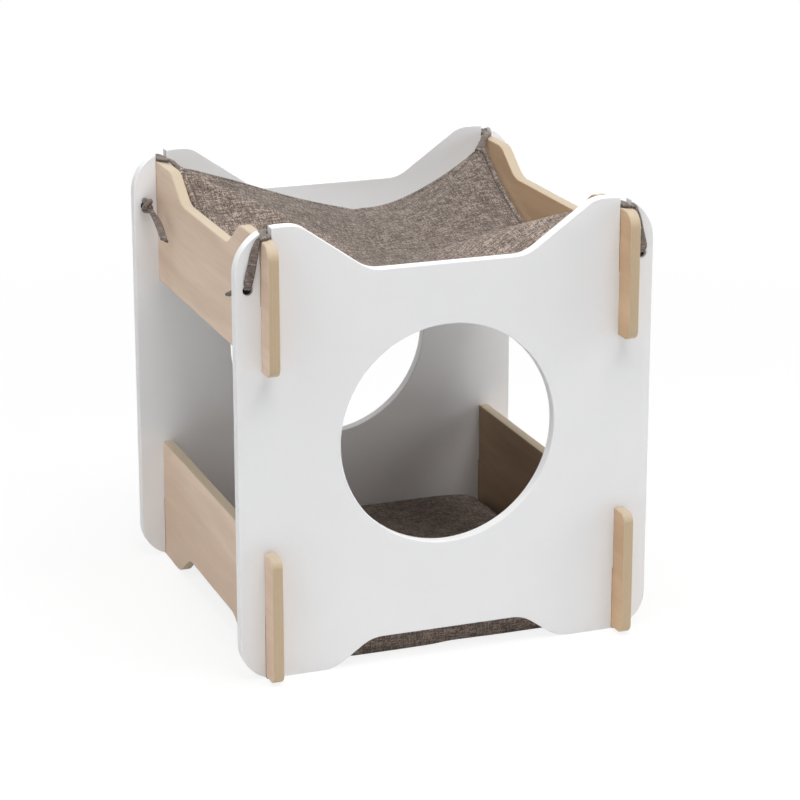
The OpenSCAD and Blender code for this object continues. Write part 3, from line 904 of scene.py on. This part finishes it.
def tube(name, points, sides, material, mark, end_mark):
    """Closed tube from rings of points. mark gives the map of side k at ring i, and end_mark that of
    point k of an end."""
    rings, uvs = len(points) // sides, []
    for i in range(rings - 1):
        for k in range(sides):
            uvs += [mark(k, i), mark(k + 1, i), mark(k + 1, i + 1), mark(k, i + 1)]
    uvs += [end_mark(k) for k in reversed(range(sides))] + [end_mark(k) for k in range(sides)]
    return turned_outwards(new_piece(name, points, tube_faces(0, rings, sides), material, uvs))


def strap_ribbon(name, line, corner, slant=0):
    """Folded strip along a fine route. corner scales a point of the front left strap to this one's, and
    slant is how much further the strip's end reaches on its inner side, as a share of its width."""
    points, gone = [], [0]
    for i, (here, look, share) in enumerate(line):
        ahead = heading(line, i)
        across = unit(np.cross(ahead, look))
        up = np.cross(across, ahead)
        pinch = 1 + 0.35 * (1 - share)
        rise = min(1, max(0, (i - len(line) + 4) / 3))
        cut = slant * (rise * rise * (3 - 2 * rise)) * STRAP_W * share / 2
        crumple = 1 + 0.05 * noise.noise(Vector((i * 0.35, STRAP_W, 7)))
        for a, b in SECTION:
            points.append((here + across * a * STRAP_W / 2 * share * crumple
                           + up * b * STRAP_T / 2 * pinch - ahead * a * cut) * corner)
        if i:
            gone.append(gone[-1] + float(np.linalg.norm(here - line[i - 1][0])))
    around = 2 * (STRAP_W + STRAP_T)
    return tube(name, points, SECTION_SIDES, STRAP_CLOTH,
                lambda k, i: (k / SECTION_SIDES * around * MM, gone[i] * MM),
                lambda k: (SECTION[k][0] * 0.004, SECTION[k][1] * 0.002))


def knot_line():
    """Line of an overhand knot round the hole's axis, behind the front left hole."""
    # The curve is 3.9 of its own units high
    size = KNOT_D / 3.9
    line = [(-HOLE_X, KNOT_Y - KNOT_D * 0.62, HOLE_Z)]
    for k in range(KNOT_STEPS + 1):
        t = pi + 0.3 + (2 * pi - 0.6) * k / KNOT_STEPS
        a = sin(t) + 2 * sin(2 * t)
        b = cos(t) - 2 * cos(2 * t)
        c = -sin(3 * t)
        line.append((-HOLE_X + c * size * 1.1, KNOT_Y + a * size * 0.72, HOLE_Z + (b + 1) * size * 0.85))
    line.append((-HOLE_X, KNOT_Y + KNOT_D * 0.55, HOLE_Z - 2.5))
    return [(np.array(point), 1) for point in line]


def rolled_cord(name, line, radius, corner, material):
    """Strip rolled to a cord, twisted as it is pulled tight. line holds (point, share of the radius)."""
    points, up = [], np.array([0.3, 0.1, 1])
    for i, (here, share) in enumerate(line):
        ahead = heading(line, i)
        up = unit(up - ahead * (up @ ahead))
        across = np.cross(ahead, up)
        for k in range(CORD_SIDES):
            angle = 2 * pi * k / CORD_SIDES
            crease = 1 - 0.22 * bell(sin(angle + i * 0.16), 0.25) + 0.06 * sin(3 * angle + i * 0.3)
            outwards = across * cos(angle) + up * sin(angle)
            points.append((here + outwards * radius * share * crease) * corner)
    return tube(name, points, CORD_SIDES, material,
                lambda k, i: (k * 0.0011, i * 0.0008), lambda k: (0.001 * k, 0))


def build_straps():
    """The four corner straps with their knots and loose tails."""
    band_line, tail_line = smooth_route(STRAP_ROUTE, BAND_SPANS), smooth_route(TAIL_ROUTE, TAIL_SPANS)
    knot = knot_line()
    in_hole = [(np.array([-HOLE_X, y, HOLE_Z - 0.1]), share) for y, share in IN_HOLE]
    for node, flip_x, flip_y in (
        ("front_left_strap", 1, 1), ("front_right_strap", -1, 1),
        ("rear_left_strap", 1, -1), ("rear_right_strap", -1, -1),
    ):
        corner = np.array([flip_x, flip_y, 1]) * MM
        made = strap_ribbon(node + "_band", band_line, corner)
        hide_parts(node)
        for piece in (
            made,
            rolled_cord(node + "_painted_shade_in_hole", in_hole, HOLE_R - 0.3, corner, STRAP_PAINTED_SHADE_CLOTH),
            rolled_cord(node + "_knot", knot, KNOT_CORD_R, corner, STRAP_CLOTH),
            strap_ribbon(node + "_tail", tail_line, corner, TAIL_SLANT),
        ):
            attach(piece, "house")


build_straps()


# Floor cushion, in millimetres

CUSHION_HALF_X = RAIL_INNER_X - 0.5
CUSHION_HALF_Y = PANEL_INNER_Y - 2
CELLS, LEVELS = 44, 6
SLACK_IN, SLACK_H, SLACK_LIFT, SIDE_BULGE = 5, 25, 1, 3
PRESSURE, FRAMES = 3, 16
# How far the stuffing may push the seams sideways, and a point down or up
SIDE_GIVE, SINK_GIVE, RISE_GIVE = 2, 3, 12
FLOOR_GAP, BOARD_GAP = 0.3, 0.2
COVER_T, WADDING_FLOOR_GAP = 2.2, 1.6


def cushion_shell():
    """Slack slab of the cushion before it is stuffed: two grids and a side band, as points and faces."""
    half_x, half_y = CUSHION_HALF_X - SLACK_IN, CUSHION_HALF_Y - SLACK_IN
    points, faces, uvs, index = [], [], [], {}

    def at(i, j, level):
        """Point on the grid: level 0 is the underside and LEVELS the top."""
        key = (i, j, level)
        if key not in index:
            a, b = 2 * i / CELLS - 1, 2 * j / CELLS - 1
            corner = max(0, abs(a) + abs(b) - 1.8)
            x, y = a * half_x * (1 - 0.1 * corner), b * half_y * (1 - 0.1 * corner)
            share = level / LEVELS
            bulge = sin(pi * share) * SIDE_BULGE
            x += copysign(bulge, a) * (abs(a) > 0.999)
            y += copysign(bulge, b) * (abs(b) > 0.999)
            index[key] = len(points)
            points.append((x * MM, y * MM, (SLACK_LIFT + SLACK_H * share) * MM))
        return index[key]

    def flat(i, j):
        """Place of a grid point on the cloth's map."""
        return ((2 * i / CELLS - 1) * half_x * MM, (2 * j / CELLS - 1) * half_y * MM)

    for i in range(CELLS):
        for j in range(CELLS):
            square = [(i, j), (i + 1, j), (i + 1, j + 1), (i, j + 1)]
            for level, corners in ((LEVELS, square), (0, square[::-1])):
                faces.append([at(*corner, level) for corner in corners])
                uvs += [flat(*corner) for corner in corners]
    rim = grid_rim(CELLS)
    step = 2 * half_x / CELLS * MM
    for k, here in enumerate(rim):
        there = rim[(k + 1) % len(rim)]
        for level in range(LEVELS):
            low, high = (n * SLACK_H / LEVELS * MM for n in (level, level + 1))
            faces.append([at(*here, level), at(*there, level), at(*there, level + 1), at(*here, level + 1)])
            uvs += [(k * step, low), ((k + 1) * step, low), ((k + 1) * step, high), (k * step, high)]
    return points, faces, uvs


def stuffed(piece):
    """Points of the slack cover after cloth simulation has blown it up."""
    cloth = piece.modifiers.new("stuffing", "CLOTH")
    feed(cloth.settings, quality=6, mass=0.15, tension_stiffness=18, compression_stiffness=18,
         shear_stiffness=8, bending_stiffness=0.6, use_pressure=True, uniform_pressure_force=PRESSURE)
    cloth.settings.effector_weights.gravity = 0
    cloth.collision_settings.use_collision = False
    cloth.point_cache.frame_start, cloth.point_cache.frame_end = 1, FRAMES
    scene.frame_start, scene.frame_end = 1, FRAMES
    for number in range(1, FRAMES + 1):
        scene.frame_set(number)
        bpy.context.view_layer.update()
    shape = piece.evaluated_get(bpy.context.evaluated_depsgraph_get()).to_mesh()
    settled = np.array([v.co for v in shape.vertices])
    piece.modifiers.remove(cloth)
    scene.frame_set(1)
    return settled


def build_cushion():
    """Stuffed cover that rests on the floor, and the wadding inside it."""
    points, faces, uvs = cushion_shell()
    cover = turned_outwards(new_piece("floor_cushion_cover", points, faces, CUSHION_CLOTH, uvs))
    rest = np.array([v.co for v in cover.data.vertices])
    settled = stuffed(cover)
    # Its seams keep their places, and the stuffing lifts the top by no more than the cover gives
    moved = settled - rest
    moved[:, :2] = np.clip(moved[:, :2], -SIDE_GIVE * MM, SIDE_GIVE * MM)
    moved[:, 2] = np.clip(moved[:, 2], -SINK_GIVE * MM, RISE_GIVE * MM)
    settled = rest + moved
    # The floor and the boards hold it
    settled[:, 2] = np.maximum(settled[:, 2], FLOOR_GAP * MM)
    for axis, half in enumerate((CUSHION_HALF_X, CUSHION_HALF_Y)):
        limit = (half - BOARD_GAP) * MM
        settled[:, axis] = np.clip(settled[:, axis], -limit, limit)
    for vertex, place in zip(cover.data.vertices, settled):
        vertex.co = place
    cover.data.update()

    shell = np.array([v.normal for v in cover.data.vertices])
    inside = settled - shell * COVER_T * MM
    inside[:, 2] = np.maximum(inside[:, 2], WADDING_FLOOR_GAP * MM)
    wadding = new_piece("floor_cushion_wadding", inside, [tuple(f.vertices) for f in cover.data.polygons],
                        WADDING)
    for piece, node, slot in (
        (cover, "cushion_cover", "woven_cloth"), (wadding, "cushion_filling", "wadding"),
    ):
        finer = piece.modifiers.new("finer", "SUBSURF")
        finer.levels = finer.render_levels = 1
        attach(piece, "cushion")
        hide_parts(node)


build_cushion()


# Floor, backdrop and light

def seen_directly(tree):
    """1 where the camera, a reflection or glass shows the surface, and 0 where it only gives light."""
    ray = put("LightPath", tree)
    seen = calc("MAXIMUM", ray.outputs["Is Camera Ray"], ray.outputs["Is Glossy Ray"])
    return calc("MAXIMUM", seen, ray.outputs["Is Transmission Ray"])


def mix_shaders(share, a, b, output):
    """Leads a mix of two shaders to an output node."""
    mixed = put("MixShader", i0=share, i1=a.outputs[0], i2=b.outputs[0])
    feed(mixed.id_data.nodes[output], Surface=mixed.outputs[0])


def pale_floor():
    """White studio floor that keeps a soft shadow."""
    material, shader, place, specks = new_material("pale_floor", 0.01)
    pale = blend(specks, (0.89, 0.89, 0.89), (0.92, 0.92, 0.92))
    seen = seen_directly(shader.id_data)
    feed(shader, Base_Color=blend(seen, (0.88, 0.88, 0.88), pale), Roughness=0.9,
         Specular_IOR_Level=0.1)
    away = put("VectorMath", operation="LENGTH", i0=place["Object"]).outputs[1]
    share = times(seen, band(away, 0.5, 1.6, 0.84, 1))
    mix_shaders(share, shader, put("Emission", shader.id_data, Color=(1, 1, 1)),
                "Material Output")
    return material


FLOOR_HALF = 14


def build_stage():
    """Floor, and a world that shows white but gives hardly any light."""
    corners = [(-1, -1), (1, -1), (1, 1), (-1, 1)]
    floor = new_piece("studio_floor", [(x * FLOOR_HALF, y * FLOOR_HALF, 0) for x, y in corners],
                      [(0, 1, 2, 3)], pale_floor())
    world = bpy.data.worlds.new("studio")
    scene.world = world
    world.use_nodes = True
    tree = world.node_tree
    feed(tree.nodes["Background"], Color=(1, 1, 1), Strength=0.02)
    mix_shaders(seen_directly(tree), tree.nodes["Background"],
                put("Background", tree, Color=(1, 1, 1)), "World Output")


# Square area lamps: place, height over the middle of the floor that they aim at, size in metres, power
SOFTBOXES = {
    "above": ((0.1, -0.6, 2.5), 0.3, 1.7, 55),
    "front": ((0.3, -1.8, 2.9), 0.3, 1.6, 12),
    "right": ((2.4, -0.5, 0.9), 0.2, 1.4, 28),
    "left": ((-1.9, -0.5, 2.6), 0.3, 1.2, 21),
    "left_low": ((-2.3, -1.3, 1.1), 0.25, 1.4, 9),
    "front_low": ((-0.6, -2.6, 1), 0.25, 1.6, 2),
    "rear": ((-0.3, 2.4, 1.8), 0.3, 1.4, 16),
}


def build_lamps():
    """The studio's soft light."""
    for name, (place, aim_z, size, power) in SOFTBOXES.items():
        data = bpy.data.lights.new("softbox_" + name, "AREA")
        data.shape, data.size, data.energy = "SQUARE", size, power
        set_up(data.name, data, place, Vector((0, 0, aim_z)) - Vector(place))


build_stage()
build_lamps()

scene.view_settings.view_transform = "Standard"
